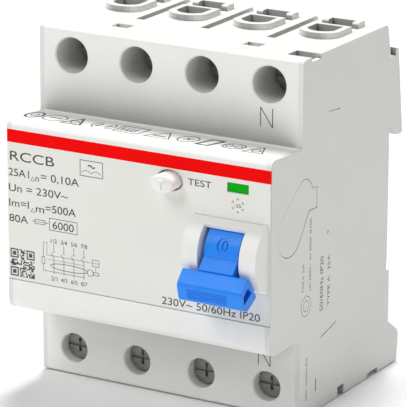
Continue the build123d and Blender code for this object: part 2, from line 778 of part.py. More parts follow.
def relay_case():
    shell = block(RELAY_X, RELAY_Y, RELAY_Z)
    room = (
        (RELAY_X[0] + 1, RELAY_X[1] - 1),
        (RELAY_Y[0] + 1, RELAY_Y[1] - 1),
        (RELAY_Z[0] + 1, RELAY_Z[1] - 1),
    )
    shell -= block(*room)
    way = (RELAY_Y[0] - 1, RELAY_Y[0] + 2)
    return shell - block((PLUNGER_X - 1.5, PLUNGER_X + 1.5), way, (PLUNGER_Z - 1.5, PLUNGER_Z + 0.4))


def relay_yoke():
    """U-shaped yoke of the trip relay, with its core through the coil."""
    x = (RELAY_X[0] + 1.5, RELAY_X[1] - 1.5)
    yoke = block(x, (-22.6, -11.0), (-24.4, -22.6))
    yoke += block((x[0], x[0] + 1.6), (-22.6, -11.0), (-24.4, -12.0))
    return yoke + rod_z(RELAY_COIL_X, RELAY_COIL_Y, 1.9, (-22.6, -12.6))


def relay_coil():
    turns = rod_z(RELAY_COIL_X, RELAY_COIL_Y, 4.2, (-22.0, -14.0))
    for z in ((-22.5, -22.0), (-14.0, -13.4)):
        turns += rod_z(RELAY_COIL_X, RELAY_COIL_Y, 4.6, z)
    return turns - rod_z(RELAY_COIL_X, RELAY_COIL_Y, 2.0, (-23, -13))


def relay_plunger():
    """Flat push rod with a pad that meets the trip lever."""
    wide = (PLUNGER_X - 1.4, PLUNGER_X + 1.4)
    rod = block(wide, (-34.6, -21.0), (PLUNGER_Z - 1.4, PLUNGER_Z + 0.3))
    return rod + block(wide, (-35.4, -34.2), (PLUNGER_Z - 0.5, PLUNGER_Z + 1.6))


def relay_board():
    return block((-30.0, 11.0), (-43.6, -42.3), (-17.0, 17.0))


def board_capacitor():
    return rod_y(-20.0, -6.0, 3.1, (-42.3, -35.6))


def inner_carrier():
    """Plate behind the label that carries the test circuit and the relay board."""
    plate = block((-33.5, 12.6), (-46.6, -45.4), (-19.0, 21.0))
    for x in (-30.8, 11.8):
        plate += block((x - 0.6, x + 0.6), (-45.4, -41.9), (-19.0, 19.0))
    return plate


def pole_barriers():
    """Dividers between the poles; the upper ones hold the pockets of the barrier slots."""
    walls = []
    for x in GAPS_X:
        upper = block((x - 0.6, x + 0.6), (-40.5, -2.6), (13.0, 33.0))
        pocket = block((x - 2.1, x + 2.1), (BARRIER_SLOT_Y[0] - 1.2, -4.2), (33.0, TOP - WALL))
        pocket -= block((x - 1.15, x + 1.15), (BARRIER_SLOT_Y[0], -4), (34.2, TOP))
        walls.append(upper + pocket)
        walls.append(block((x - 0.6, x + 0.6), (-40.5, -2.6), (BOTTOM + WALL, -28.0)))
    return group(walls)


# Test circuit, status flag and rail clips

def test_button():
    cap = oval_y(BUTTON_X, BUTTON_Z, BUTTON_CAP, (-60.6, -55.3))
    dome = scale(Sphere(1), by=(BUTTON_CAP[0], 0.9, BUTTON_CAP[1]))
    cap += Pos(BUTTON_X, -60.6, BUTTON_Z) * dome
    cap += oval_y(BUTTON_X, BUTTON_Z, (3.9, 3.1), (-55.3, -54.3))
    cap += rod_y(BUTTON_X, BUTTON_Z, 1.2, (-54.3, -50.6))
    bar_x = (BUTTON_X - 0.95, BUTTON_X + 0.95)
    mark = block(bar_x, (-61.75, -61.0), (BUTTON_Z + 0.6, BUTTON_Z + 1.0))
    mark += block((BUTTON_X - 0.2, BUTTON_X + 0.2), (-61.75, -61.0), (BUTTON_Z - 1.1, BUTTON_Z + 0.7))
    return cap + mark


def button_spring():
    return coil(1.0, 5.3, 2.1, 0.22, (BUTTON_X, -54.0, BUTTON_Z), (0, 1, 0))


def test_contact_blade():
    """Brass strip on the carrier; its raised end is the button's contact and the spring's seat."""
    x = (BUTTON_X - 2.6, BUTTON_X + 2.6)
    blade = block(x, (-47.0, -46.6), (3.0, 12.0))
    blade += block(x, (-48.1, -46.6), (11.6, 12.0))
    return blade + block(x, (-48.1, -47.7), (11.6, 18.6))


def test_resistor():
    body = rod_x(-48.3, 12.0, 1.5, (-9.0, -1.0))
    for x in ((-11.5, -9.0), (-1.0, 1.5)):
        body += rod_x(-48.3, 12.0, 0.35, x)
    return body


def indicator_flag():
    """Hollow slider close behind the label, with a tail that the mechanism moves."""
    flag = block(FLAG_X, (LABEL_BACK + 0.1, -54.4), FLAG_Z)
    hollow_x = (FLAG_X[0] + 0.8, FLAG_X[1] - 0.8)
    hollow_z = (FLAG_Z[0] + 0.8, FLAG_Z[1] - 0.8)
    flag -= block(hollow_x, (LABEL_BACK + 0.8, -54), hollow_z)
    return flag + block((27.6, 29.0), (-54.9, -54.4), (9.6, FLAG_Z[0]))


def rail_clip(x):
    """Sliding clip with a nose under the rail and a screwdriver slot in its foot."""
    clip = block((x - CLIP_HALF_X, x + CLIP_HALF_X), CLIP_Y, (-41.0, -16.6))
    nose = [
        (1.25, -16.6, 0),
        (1.25, -15.4, 0),
        (1.8, -14.8, 0),
        (2.4, -14.8, 0),
        (CLIP_Y[1], -16.6, 0),
    ]
    clip += slab_x(nose, (x - 6.6, x + 6.6))
    clip += block((x - 4.5, x + 4.5), (CLIP_Y[1], CLIP_Y[1] + 1.3), (-41.0, -38.2))
    clip -= block((x - 2.5, x + 2.5), (CLIP_Y[0] - 1, CLIP_Y[1] + 1), (-34.1, -24.0))
    return clip - block((x - 2.6, x + 2.6), (CLIP_Y[0] - 1, CLIP_Y[1] + 3), (-40.2, -38.8))


def rail_clip_spring(x):
    return coil(1.3, 7.2, 1.25, 0.22, (x, 2.6, -31.75), (0, 0, 1))


def named_nodes():
    """Every sub-part by its node name."""
    nodes = {
        "base_housing": base_housing(),
        "front_cover": front_cover(),
        "front_label": front_label(),
        "window_lens": window_lens(),
        "accessory_port_cover": accessory_port_cover(),
        "toggle_lever": toggle_lever(),
        "toggle_crank": toggle_crank(),
        "toggle_pin": toggle_pin(),
        "toggle_spring": toggle_spring(),
        "operating_link": operating_link(),
        "mechanism_frame": mechanism_frame(),
        "linkage_pins": linkage_pins(),
        "latch_lever": latch_lever(),
        "trip_lever": trip_lever(),
        "contact_shaft": contact_shaft(),
        "moving_contacts": moving_contacts(),
        "moving_contact_tips": moving_contact_tips(),
        "contact_springs": contact_springs(),
        "fixed_contact_tips": fixed_contact_tips(),
        "arc_chamber_frames": arc_chamber_frames(),
        "arc_chamber_plates": arc_chamber_plates(),
        "terminal_bars": terminal_bars(),
        "core_case": core_case(),
        "transformer_core": transformer_core(),
        "secondary_winding": secondary_winding(),
        "primary_conductors": primary_conductors(),
        "relay_case": relay_case(),
        "relay_yoke": relay_yoke(),
        "relay_coil": relay_coil(),
        "relay_plunger": relay_plunger(),
        "relay_board": relay_board(),
        "board_capacitor": board_capacitor(),
        "inner_carrier": inner_carrier(),
        "pole_barriers": pole_barriers(),
        "test_button": test_button(),
        "button_spring": button_spring(),
        "test_contact_blade": test_contact_blade(),
        "test_resistor": test_resistor(),
        "indicator_flag": indicator_flag(),
    }
    for side, word in ((1, "line"), (-1, "load")):
        for i, x in enumerate(POLE_X):
            nodes[f"{word}_screw_{i + 1}"] = terminal_screw(x, side)
            nodes[f"{word}_cage_{i + 1}"] = terminal_cage(x, side)
    for word, x in zip(("left", "right"), CLIP_X):
        nodes[f"rail_clip_{word}"] = rail_clip(x)
        nodes[f"rail_clip_spring_{word}"] = rail_clip_spring(x)
    return nodes


os.makedirs("parts", exist_ok=True)
for node_name, shape in named_nodes().items():
    export_step(shape, f"parts/{node_name}.step")
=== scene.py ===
"""Looks of the residual current device: materials, print, lens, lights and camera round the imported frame."""
import random
from math import cos, pi, radians, sin

import bmesh
import bpy
from mathutils import Matrix, Vector

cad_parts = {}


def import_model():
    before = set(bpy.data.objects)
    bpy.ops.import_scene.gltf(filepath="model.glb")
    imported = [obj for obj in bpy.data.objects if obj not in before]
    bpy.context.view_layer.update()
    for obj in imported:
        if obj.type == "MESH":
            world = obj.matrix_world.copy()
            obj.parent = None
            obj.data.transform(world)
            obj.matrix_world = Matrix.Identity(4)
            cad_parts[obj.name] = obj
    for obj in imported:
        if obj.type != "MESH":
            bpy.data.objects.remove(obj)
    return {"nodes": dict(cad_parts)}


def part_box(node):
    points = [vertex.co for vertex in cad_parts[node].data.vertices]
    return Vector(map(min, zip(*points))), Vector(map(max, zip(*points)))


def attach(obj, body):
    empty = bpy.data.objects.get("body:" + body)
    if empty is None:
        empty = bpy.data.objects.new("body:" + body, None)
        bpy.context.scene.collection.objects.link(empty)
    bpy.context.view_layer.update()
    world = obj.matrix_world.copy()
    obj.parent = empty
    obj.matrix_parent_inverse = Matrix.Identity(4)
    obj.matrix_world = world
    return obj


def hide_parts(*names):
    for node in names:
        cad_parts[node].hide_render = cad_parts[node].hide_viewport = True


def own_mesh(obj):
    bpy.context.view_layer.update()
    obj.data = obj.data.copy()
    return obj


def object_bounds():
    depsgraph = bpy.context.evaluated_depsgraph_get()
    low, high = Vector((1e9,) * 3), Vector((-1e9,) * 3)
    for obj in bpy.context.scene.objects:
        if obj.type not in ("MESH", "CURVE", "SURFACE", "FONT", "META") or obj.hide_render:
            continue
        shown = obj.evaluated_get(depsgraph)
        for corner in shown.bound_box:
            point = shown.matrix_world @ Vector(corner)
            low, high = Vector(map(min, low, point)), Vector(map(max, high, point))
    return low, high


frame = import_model()
cad_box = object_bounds()

MM = 0.001
nodes = frame["nodes"]

# Places on the front, from the CAD boxes, in millimetres
label_low, label_high = (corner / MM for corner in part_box("front_label"))
LABEL_Y = label_low.y
LABEL_TOP = label_high.z
LABEL_BOTTOM = label_low.z
LEFT = label_low.x
RED_BAND = 3.1                      # height of the red band at the top of the label
button_low, button_high = (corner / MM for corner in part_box("test_button"))
BUTTON_X = (button_low.x + button_high.x) / 2
BUTTON_Z = (button_low.z + button_high.z) / 2
lens_low, lens_high = (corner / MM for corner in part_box("window_lens"))
STATUS_X = (lens_low.x + lens_high.x) / 2
line_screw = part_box("line_screw_4")
load_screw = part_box("load_screw_4")
POLE_4_X = (line_screw[0].x + line_screw[1].x) / 2 / MM
LINE_Z = (line_screw[0].z + line_screw[1].z) / 2 / MM
LOAD_Z = (load_screw[0].z + load_screw[1].z) / 2 / MM
SHOULDER_Y = -43.0                  # face of the terminal shoulders
PRINT_PROUD = 0.02                  # how far the ink stands out of its surface
PRINT_SUNK = 0.01                   # how far it reaches in


# Materials

# Sizes of the noise patterns, in cells to the metre
CLOUDS = 90.0
GLOSS_PATCHES = 260.0
STAINS = 350.0
LENS_WAVES = 500.0
WEAR_PATCHES = 700.0
BRUSHING = 900.0
GRAIN = 2600.0


def node(tree, kind, **settings):
    made = tree.nodes.new(kind)
    for key, value in settings.items():
        if key in made.inputs:
            made.inputs[key].default_value = value
        else:
            setattr(made, key, value)
    return made


def rgba(color):
    return (*color, 1.0)


def object_coordinates(tree):
    return node(tree, "ShaderNodeTexCoord").outputs["Object"]


def noise(tree, coords, scale, detail=2.0):
    made = node(tree, "ShaderNodeTexNoise", Scale=scale, Detail=detail, Roughness=0.55)
    tree.links.new(coords, made.inputs["Vector"])
    return made.outputs["Fac"]


def span(tree, value, low, high, first=0.0, last=1.0):
    """Straight ramp from first to last while a value goes from low to high."""
    ramp = node(tree, "ShaderNodeMapRange")
    for socket, number in (("From Min", low), ("From Max", high), ("To Min", first), ("To Max", last)):
        ramp.inputs[socket].default_value = number
    tree.links.new(value, ramp.inputs["Value"])
    return ramp.outputs["Result"]


def remap(tree, value, low, high):
    """Takes 0.3..0.7 of a noise to low..high."""
    return span(tree, value, 0.3, 0.7, low, high)


def mix(tree, factor, first, second):
    """Mixes two colours, each given as a tuple or an output."""
    made = node(tree, "ShaderNodeMix", data_type="RGBA")
    for key, value in ((6, first), (7, second)):
        if isinstance(value, tuple):
            made.inputs[key].default_value = value
        else:
            tree.links.new(value, made.inputs[key])
    if isinstance(factor, float):
        made.inputs[0].default_value = factor
    else:
        tree.links.new(factor, made.inputs[0])
    return made.outputs[2]


def soft_normal(tree, radius):
    """Normal that turns smoothly round sharp edges."""
    return node(tree, "ShaderNodeBevel", samples=6, Radius=radius * MM).outputs["Normal"]


def edge_mask(tree, rounded):
    """About 1 where the rounded normal leaves the true one, which is along edges."""
    geometry = node(tree, "ShaderNodeNewGeometry")
    dot = node(tree, "ShaderNodeVectorMath", operation="DOT_PRODUCT")
    tree.links.new(rounded, dot.inputs[0])
    tree.links.new(geometry.outputs["Normal"], dot.inputs[1])
    return span(tree, dot.outputs["Value"], 0.999, 0.80)


def bumped(tree, height, normal, depth):
    made = node(tree, "ShaderNodeBump", Strength=1.0, Distance=depth * MM)
    tree.links.new(height, made.inputs["Height"])
    if normal is not None:
        tree.links.new(normal, made.inputs["Normal"])
    return made.outputs["Normal"]


def multiplied(tree, base, shade, amount):
    """A colour multiplied by a shade, by an amount from 0 to 1."""
    product = node(tree, "ShaderNodeMix", data_type="RGBA", blend_type="MULTIPLY")
    tree.links.new(amount, product.inputs[0])
    tree.links.new(base, product.inputs[6])
    tree.links.new(shade, product.inputs[7])
    return product.outputs[2]


def part_of(tree, vector, axis):
    """The X, Y or Z part of a vector."""
    parts = node(tree, "ShaderNodeSeparateXYZ")
    tree.links.new(vector, parts.inputs[0])
    return parts.outputs[axis]


def beyond(tree, value, side, limit):
    """1 where a value is above or below a limit, and 0 elsewhere."""
    test = node(tree, "ShaderNodeMath", operation="GREATER_THAN" if side == "above" else "LESS_THAN")
    tree.links.new(value, test.inputs[0])
    test.inputs[1].default_value = limit
    return test.outputs[0]


def split_by_height(tree, coords, base, color, height, side):
    """Another colour above or below a height in the piece's own frame, with a crisp edge."""
    return mix(tree, beyond(tree, part_of(tree, coords, "Z"), side, height * MM), base, rgba(color))


RECESS_REACH = 22.0                 # how far the painted shade of a wall reaches onto its neighbours
WELL_REAR = -30.0                   # the screw wells lie forward of this depth


def paint_recess_shade(tree, coords, base):
    """Painted shade: darkens front and back faces beside a step or ledge, and the walls of the screw wells,
    more where they are closed in.
    """
    distance = RECESS_REACH * MM
    openness = node(tree, "ShaderNodeAmbientOcclusion", samples=8, only_local=True, Distance=distance)
    openness = openness.outputs["AO"]
    in_well = beyond(tree, part_of(tree, coords, "Y"), "below", WELL_REAR * MM)
    base = multiplied(tree, base, span(tree, openness, 0.0, 0.55, first=0.45), in_well)
    normal = node(tree, "ShaderNodeNewGeometry").outputs["True Normal"]
    facing = node(tree, "ShaderNodeMath", operation="ABSOLUTE")
    tree.links.new(part_of(tree, normal, "Y"), facing.inputs[0])
    flat = span(tree, facing.outputs[0], 0.8, 0.98)
    return multiplied(tree, base, span(tree, openness, 0.12, 0.9), flat)


def worn_edges(tree, coords, base, rounded, color, wear):
    """Paler edges, worn unevenly."""
    worn = node(tree, "ShaderNodeMath", operation="MULTIPLY")
    tree.links.new(edge_mask(tree, rounded), worn.inputs[0])
    tree.links.new(remap(tree, noise(tree, coords, WEAR_PATCHES), 0.0, wear), worn.inputs[1])
    pale = tuple(min(1.0, c * 1.06 + 0.02) for c in color)
    return mix(tree, worn.outputs[0], base, rgba(pale))


def new_material(name):
    material = bpy.data.materials.new(name)
    material.use_nodes = True
    tree = material.node_tree
    return material, tree, tree.nodes["Principled BSDF"]


def plastic(name, color, roughness=0.45, grain=0.006, edge=0.12, wear=0.5, second=None, tint=0.03, shine=0.42,
            recess_shade=False):
    """Moulded plastic: fine grain, uneven gloss, faint clouding, and either paler worn edges or a second
    colour past a height: second is (colour, height in mm, "above" or "below"). Recess shade, when asked for,
    is painted shade beside steps and ledges and in the screw wells."""
    material, tree, shader = new_material(name)
    coords = object_coordinates(tree)
    darker = tuple(c * (1 - tint) for c in color)
    cloud = noise(tree, coords, CLOUDS, 3.0)
    base = mix(tree, remap(tree, cloud, 0.0, 1.0), rgba(darker), rgba(color))
    rounded = soft_normal(tree, edge)
    if second is None:
        base = worn_edges(tree, coords, base, rounded, color, wear)
    else:
        base = split_by_height(tree, coords, base, *second)
    # painted shade beside steps and ledges and in the screw wells
    if recess_shade:
        base = paint_recess_shade(tree, coords, base)
    tree.links.new(base, shader.inputs["Base Color"])
    gloss = remap(tree, noise(tree, coords, GLOSS_PATCHES), roughness - 0.05, roughness + 0.06)
    tree.links.new(gloss, shader.inputs["Roughness"])
    texture = noise(tree, coords, GRAIN, 1.0)
    tree.links.new(bumped(tree, texture, rounded, grain), shader.inputs["Normal"])
    shader.inputs["Specular IOR Level"].default_value = shine
    return material


def metal(name, color, roughness=0.3, scratch=0.004, stain=0.12):
    """Plated or bare metal: brushed in one direction, with darker stains and bright edges."""
    material, tree, shader = new_material(name)
    coords = object_coordinates(tree)
    mapping = node(tree, "ShaderNodeMapping")
    mapping.inputs["Scale"].default_value = (1, 1, 14)
    tree.links.new(coords, mapping.inputs["Vector"])
    brushed = noise(tree, mapping.outputs["Vector"], BRUSHING, 4.0)
    stains = noise(tree, coords, STAINS, 4.0)
    dark = tuple(c * (1 - stain) for c in color)
    base = mix(tree, remap(tree, stains, 0.0, 1.0), rgba(dark), rgba(color))
    rounded = soft_normal(tree, 0.12)
    bright = tuple(min(1.0, c * 1.2) for c in color)
    base = mix(tree, edge_mask(tree, rounded), base, rgba(bright))
    tree.links.new(base, shader.inputs["Base Color"])
    tree.links.new(remap(tree, brushed, roughness - 0.08, roughness + 0.12), shader.inputs["Roughness"])
    tree.links.new(bumped(tree, brushed, rounded, scratch), shader.inputs["Normal"])
    shader.inputs["Metallic"].default_value = 1.0
    return material


def clear_plastic(name):
    """Clear lens with faint moulding waves: a little gloss over what is behind it."""
    material, tree, shader = new_material(name)
    tree.nodes.remove(shader)
    waves = noise(tree, object_coordinates(tree), LENS_WAVES)
    gloss = node(tree, "ShaderNodeBsdfGlossy")
    tree.links.new(remap(tree, waves, 0.05, 0.12), gloss.inputs["Roughness"])
    tree.links.new(bumped(tree, waves, None, 0.003), gloss.inputs["Normal"])
    clear = node(tree, "ShaderNodeBsdfTransparent")
    clear.inputs["Color"].default_value = (0.97, 0.99, 0.97, 1)
    pane = node(tree, "ShaderNodeMixShader", Fac=0.006)
    tree.links.new(clear.outputs[0], pane.inputs[1])
    tree.links.new(gloss.outputs[0], pane.inputs[2])
    tree.links.new(pane.outputs[0], tree.nodes["Material Output"].inputs["Surface"])
    return material


def wound(name, color):
    """Fine wire laid side by side."""
    material, tree, shader = new_material(name)
    coords = object_coordinates(tree)
    wave = node(tree, "ShaderNodeTexWave", Scale=1500.0, Distortion=0.4)
    tree.links.new(coords, wave.inputs["Vector"])
    dark = tuple(c * 0.45 for c in color)
    base = mix(tree, wave.outputs["Fac"], rgba(dark), rgba(color))
    tree.links.new(base, shader.inputs["Base Color"])
    tree.links.new(bumped(tree, wave.outputs["Fac"], None, 0.05), shader.inputs["Normal"])
    tree.links.new(remap(tree, noise(tree, coords, STAINS), 0.25, 0.4), shader.inputs["Roughness"])
    shader.inputs["Metallic"].default_value = 0.8
    return material


# WHITE and COVER_WHITE are one white plastic; COVER_WHITE is the lighter copy, painted light for the front
# cover and the test button
WHITE = (0.82, 0.82, 0.795)
COVER_WHITE = (0.94, 0.94, 0.91)
LABEL_WHITE = (0.88, 0.875, 0.83)
RED = (0.97, 0.0, 0.0)
BLUE = (0.008, 0.26, 1.0)
GREEN = (0.0, 0.50, 0.003)
INK = (0.085, 0.085, 0.08)

materials = {
    # housing and cover get painted shade beside steps and ledges and in the screw wells
    "housing": plastic("housing_plastic", WHITE, 0.48, wear=0.6, recess_shade=True),
    "cover": plastic("cover_plastic", COVER_WHITE, 0.46, wear=0.6, recess_shade=True),
    "label": plastic(
        "label_print", LABEL_WHITE, 0.5, grain=0.003, edge=0.06, shine=0.06,
        second=(RED, LABEL_TOP - RED_BAND, "above"),
    ),
    "blue": plastic("handle_blue", BLUE, 0.42, edge=0.3, wear=0.12, shine=0.4),
    "button": plastic("button_white", COVER_WHITE, 0.42, edge=0.2, shine=0.2),
    "inner": plastic("inner_grey", (0.09, 0.095, 0.10), 0.55, grain=0.02),
    "black": plastic("shaft_black", (0.02, 0.02, 0.02), 0.5),
    "steel": metal("plated_steel", (0.42, 0.42, 0.41)),
    "screw": metal("screw_steel", (0.36, 0.38, 0.36), 0.6, scratch=0.002),
    "spring": metal("spring_steel", (0.30, 0.30, 0.31), 0.35),
    "copper": metal("bare_copper", (0.72, 0.33, 0.20), 0.28),
    "silver": metal("contact_silver", (0.78, 0.77, 0.74), 0.22),
    "core": metal("ring_core", (0.20, 0.20, 0.22), 0.5, stain=0.3),
    "winding": wound("coil_wire", (0.62, 0.26, 0.12)),
    "insulation": plastic("wire_insulation", (0.02, 0.02, 0.022), 0.4, grain=0.01),
    "fibre": plastic("arc_fibre", (0.30, 0.16, 0.08), 0.7, grain=0.03, tint=0.3),
    "board": plastic("circuit_board", (0.02, 0.12, 0.05), 0.35, tint=0.2),
    "component": plastic("component_body", (0.03, 0.05, 0.16), 0.3),
    "lens": clear_plastic("clear_lens"),
    "ink": plastic("print_ink", INK, 0.5, grain=0.002, edge=0.02, tint=0.15),
}
FLAG_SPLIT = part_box("indicator_flag")[1].z / MM - 3.25     # green above, red below
materials["flag"] = plastic("flag_green", GREEN, 0.6, second=(RED, FLAG_SPLIT, "below"), shine=0.01)

finishes = {
    "housing": ["base_housing", "accessory_port_cover", "pole_barriers"],
    "cover": ["front_cover"],
    "label": ["front_label"],
    "blue": ["toggle_lever"],
    "button": ["test_button"],
    "flag": ["indicator_flag"],
    "lens": ["window_lens"],
    "inner": ["core_case", "relay_case", "inner_carrier", "rail_clip_left", "rail_clip_right"],
    "black": ["contact_shaft", "latch_lever", "trip_lever", "relay_plunger"],
    "steel": ["toggle_crank", "toggle_pin", "operating_link", "mechanism_frame", "linkage_pins",
              "arc_chamber_plates", "relay_yoke"],
    "spring": ["toggle_spring", "contact_springs", "button_spring", "rail_clip_spring_left",
               "rail_clip_spring_right"],
    "copper": ["moving_contacts", "terminal_bars", "test_contact_blade"],
    "silver": ["moving_contact_tips", "fixed_contact_tips"],
    "core": ["transformer_core"],
    "winding": ["secondary_winding", "relay_coil"],
    "insulation": ["primary_conductors"],
    "fibre": ["arc_chamber_frames"],
    "board": ["relay_board"],
    "component": ["board_capacitor", "test_resistor"],
    "screw": [],
}
for side in ("line", "load"):
    for pole in range(1, 5):
        finishes["steel"].append(f"{side}_cage_{pole}")
        finishes["screw"].append(f"{side}_screw_{pole}")
for finish, names in finishes.items():
    for name in names:
        slots = nodes[name].data.materials
        slots.clear()
        slots.append(materials[finish])


def housing_piece(bm, name, material):
    """Turns a mesh into a piece that rides on the housing."""
    mesh = bpy.data.meshes.new(name)
    bm.to_mesh(mesh)
    bm.free()
    mesh.materials.append(materials[material])
    piece = bpy.data.objects.new(name, mesh)
    bpy.context.scene.collection.objects.link(piece)
    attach(piece, "housing")
    return piece


# Coil springs in the place of the CAD springs

WIRE_RADIUS = 0.22


def turns_to_height(turned, turns, length, wire):
    """Height along a spring with one closed turn at each end."""
    if turned < 1:
        return 2 * wire * turned
    if turned > turns - 1:
        return length - 2 * wire * (turns - turned)
    return 2 * wire + (length - 4 * wire) * (turned - 1) / (turns - 2)


def coil(bm, centre, axis, radius, length, turns, wire):
    """Round wire wound about an axis; length is from the first turn's centre line to the last's."""
    steps, around = 24, 8
    side = Vector((1, 0, 0))
    other = axis.cross(side)
    rings = []
    for i in range(turns * steps + 1):
        angle = 2 * pi * i / steps
        out = side * cos(angle) + other * sin(angle)
        height = turns_to_height(i / steps, turns, length, wire) - length / 2
        middle = centre + axis * height + out * radius
        ring = []
        for k in range(around):
            b = 2 * pi * k / around
            ring.append(bm.verts.new(middle + (out * cos(b) + axis * sin(b)) * wire))
        rings.append(ring)
    for first, second in zip(rings, rings[1:]):
        for k in range(around):
            j = (k + 1) % around
            bm.faces.new((first[k], first[j], second[j], second[k]))
    bm.faces.new(rings[0])
    bm.faces.new(rings[-1])
    bmesh.ops.recalc_face_normals(bm, faces=bm.faces)
    for face in bm.faces:
        face.smooth = len(face.verts) == 4


def coil_spring(node_name, seat_way, turns):
    """Coil in the place of a CAD spring, its axis along seat_way, the way to its seat."""
    low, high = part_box(node_name)
    centre = (low + high) / 2
    axis = Vector(seat_way)
    length = abs((high - low).dot(axis))
    wire = WIRE_RADIUS * MM
    bm = bmesh.new()
    coil(bm, centre, axis, (high.x - low.x) / 2 - wire, length - 2 * wire, turns, wire)
    piece = housing_piece(bm, node_name + "_coil", "spring")
    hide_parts(node_name)
    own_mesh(piece)


coil_spring("button_spring", (0, 1, 0), 6)
for word in ("left", "right"):
    coil_spring(f"rail_clip_spring_{word}", (0, 0, -1), 7)


# Print: flat ink prisms on a plane, drawn in millimetres across (u) and up (v)

def ink_piece(name, faces_of, place):
    """Ink made by faces_of(bm) in u, v and proud w, put in place by a matrix."""
    bm = bmesh.new()
    faces_of(bm)
    bmesh.ops.recalc_face_normals(bm, faces=bm.faces)
    bm.transform(place)
    housing_piece(bm, name, "ink")


def facing_front(y):
    """From (u, v, w) in mm to the row frame, w towards the front."""
    return Matrix(((MM, 0, 0, 0), (0, 0, -MM, y * MM), (0, MM, 0, 0), (0, 0, 0, 1)))


def prism(bm, loop):
    back = [bm.verts.new((u, v, -PRINT_SUNK)) for u, v in loop]
    front = [bm.verts.new((u, v, PRINT_PROUD)) for u, v in loop]
    bm.faces.new(front)
    bm.faces.new(reversed(back))
    for i in range(len(loop)):
        j = (i + 1) % len(loop)
        bm.faces.new((back[i], back[j], front[j], front[i]))


def bar(bm, u0, v0, u1, v1):
    prism(bm, [(u0, v0), (u1, v0), (u1, v1), (u0, v1)])


def stroke(bm, points, width, closed=False):
    """Line of a constant width through points, mitred at its bends."""
    count = len(points)
    sides = []
    for i, (u, v) in enumerate(points):
        before = Vector(points[i - 1]) if i or closed else None
        after = Vector(points[(i + 1) % count]) if i < count - 1 or closed else None
        here = Vector((u, v))
        along_in = (here - before).normalized() if before is not None else (after - here).normalized()
        along_out = (after - here).normalized() if after is not None else along_in
        middle = (along_in + along_out).normalized()
        across = Vector((-middle.y, middle.x))
        reach = width / 2 / max(0.4, across.dot(Vector((-along_in.y, along_in.x))))
        sides.append((here + across * reach, here - across * reach))
    spans = range(count if closed else count - 1)
    for i in spans:
        a, b = sides[i], sides[(i + 1) % count]
        prism(bm, [tuple(a[0]), tuple(b[0]), tuple(b[1]), tuple(a[1])])


def ellipse(bm, u, v, ru, rv, width, start=0.0, turn=360.0, count=40):
    whole = turn >= 360.0
    angles = [radians(start + turn * i / count) for i in range(count if whole else count + 1)]
    stroke(bm, [(u + ru * cos(a), v + rv * sin(a)) for a in angles], width, closed=whole)


def frame_box(bm, u0, v0, u1, v1, width):
    stroke(bm, [(u0, v0), (u1, v0), (u1, v1), (u0, v1)], width, closed=True)


CAPITAL = 0.73                      # capital height of the built-in font at size 1
WEIGHT = 0.002                      # how much its strokes are thickened, at size 1


def lettering(words):
    """Flat mesh of words in the built-in font at size 1."""
    curve = bpy.data.curves.new("words", "FONT")
    curve.body = words
    curve.offset = WEIGHT
    holder = bpy.data.objects.new("words", curve)
    bpy.context.scene.collection.objects.link(holder)
    bpy.context.view_layer.update()
    mesh = bpy.data.meshes.new_from_object(holder.evaluated_get(bpy.context.evaluated_depsgraph_get()))
    bpy.data.objects.remove(holder)
    return mesh


def text(bm, words, u, v, height, width):
    """Lettering of a capital height, from u over a width, its baseline at v."""
    mesh = lettering(words)
    part = bmesh.new()
    part.from_mesh(mesh)
    bmesh.ops.remove_doubles(part, verts=part.verts, dist=1e-5)
    low = min(vert.co.x for vert in part.verts)
    high = max(vert.co.x for vert in part.verts)
    spread = width / (high - low)
    rise = height / CAPITAL
    for vert in part.verts:
        vert.co = (u + (vert.co.x - low) * spread, v + vert.co.y * rise, -PRINT_SUNK)
    made = bmesh.ops.extrude_face_region(part, geom=part.faces[:] + part.edges[:] + part.verts[:])
    tops = [item for item in made["geom"] if isinstance(item, bmesh.types.BMVert)]
    bmesh.ops.translate(part, verts=tops, vec=(0, 0, PRINT_PROUD + PRINT_SUNK))
    part.to_mesh(mesh)
    part.free()
    bm.from_mesh(mesh)
    bpy.data.meshes.remove(mesh)


def delta(bm, u, v):
    """Small triangle written as an index, from its lower left corner."""
    stroke(bm, [(u, v), (u + 0.5, v + 0.9), (u + 1.0, v)], 0.1, closed=True)


def fuse_symbol(bm, u, v):
    """Box on a line, the usual sign of a fuse, from its left end."""
    lead, body = 0.8, 2.8
    for start in (u, u + lead + body):
        stroke(bm, [(start, v), (start + lead, v)], 0.13)
    frame_box(bm, u + lead, v - 0.5, u + lead + body, v + 0.5, 0.13)
    stroke(bm, [(u + lead, v), (u + lead + body, v)], 0.08)


def ratings(bm):
    """Generic rating lines of such a device, at the label's left."""
    left = LEFT + 0.35
    caps = 1.9
    title, current, voltage, making, backup = 14.5, 10.75, 7.0, 3.35, -0.35     # baselines
    text(bm, "RCCB", left + 0.4, title, 2.35, 12.2)
    text(bm, "25A", left, current, caps, 4.7)
    text(bm, "I", left + 5.4, current, caps, 0.25)
    delta(bm, left + 6.1, current - 0.45)
    text(bm, "n", left + 7.4, current - 0.45, 1.7, 0.95)
    text(bm, "= 0,10A", left + 8.9, current, caps, 10.4)
    text(bm, "Un = 230V~", left, voltage, caps, 16.2)
    text(bm, "Im=I", left, making, caps, 5.5)
    delta(bm, left + 6.0, making - 0.6)
    text(bm, "m", left + 7.4, making - 0.45, caps, 2.3)
    text(bm, "=500A", left + 10.1, making, caps, 8.3)
    text(bm, "80A", left, backup, caps, 5.2)
    fuse_symbol(bm, left + 6.3, backup + 1.0)
    frame_box(bm, left + 11.1, -0.85, left + 18.7, 2.0, 0.14)
    text(bm, "6000", left + 12.0, -0.4, caps, 5.8)


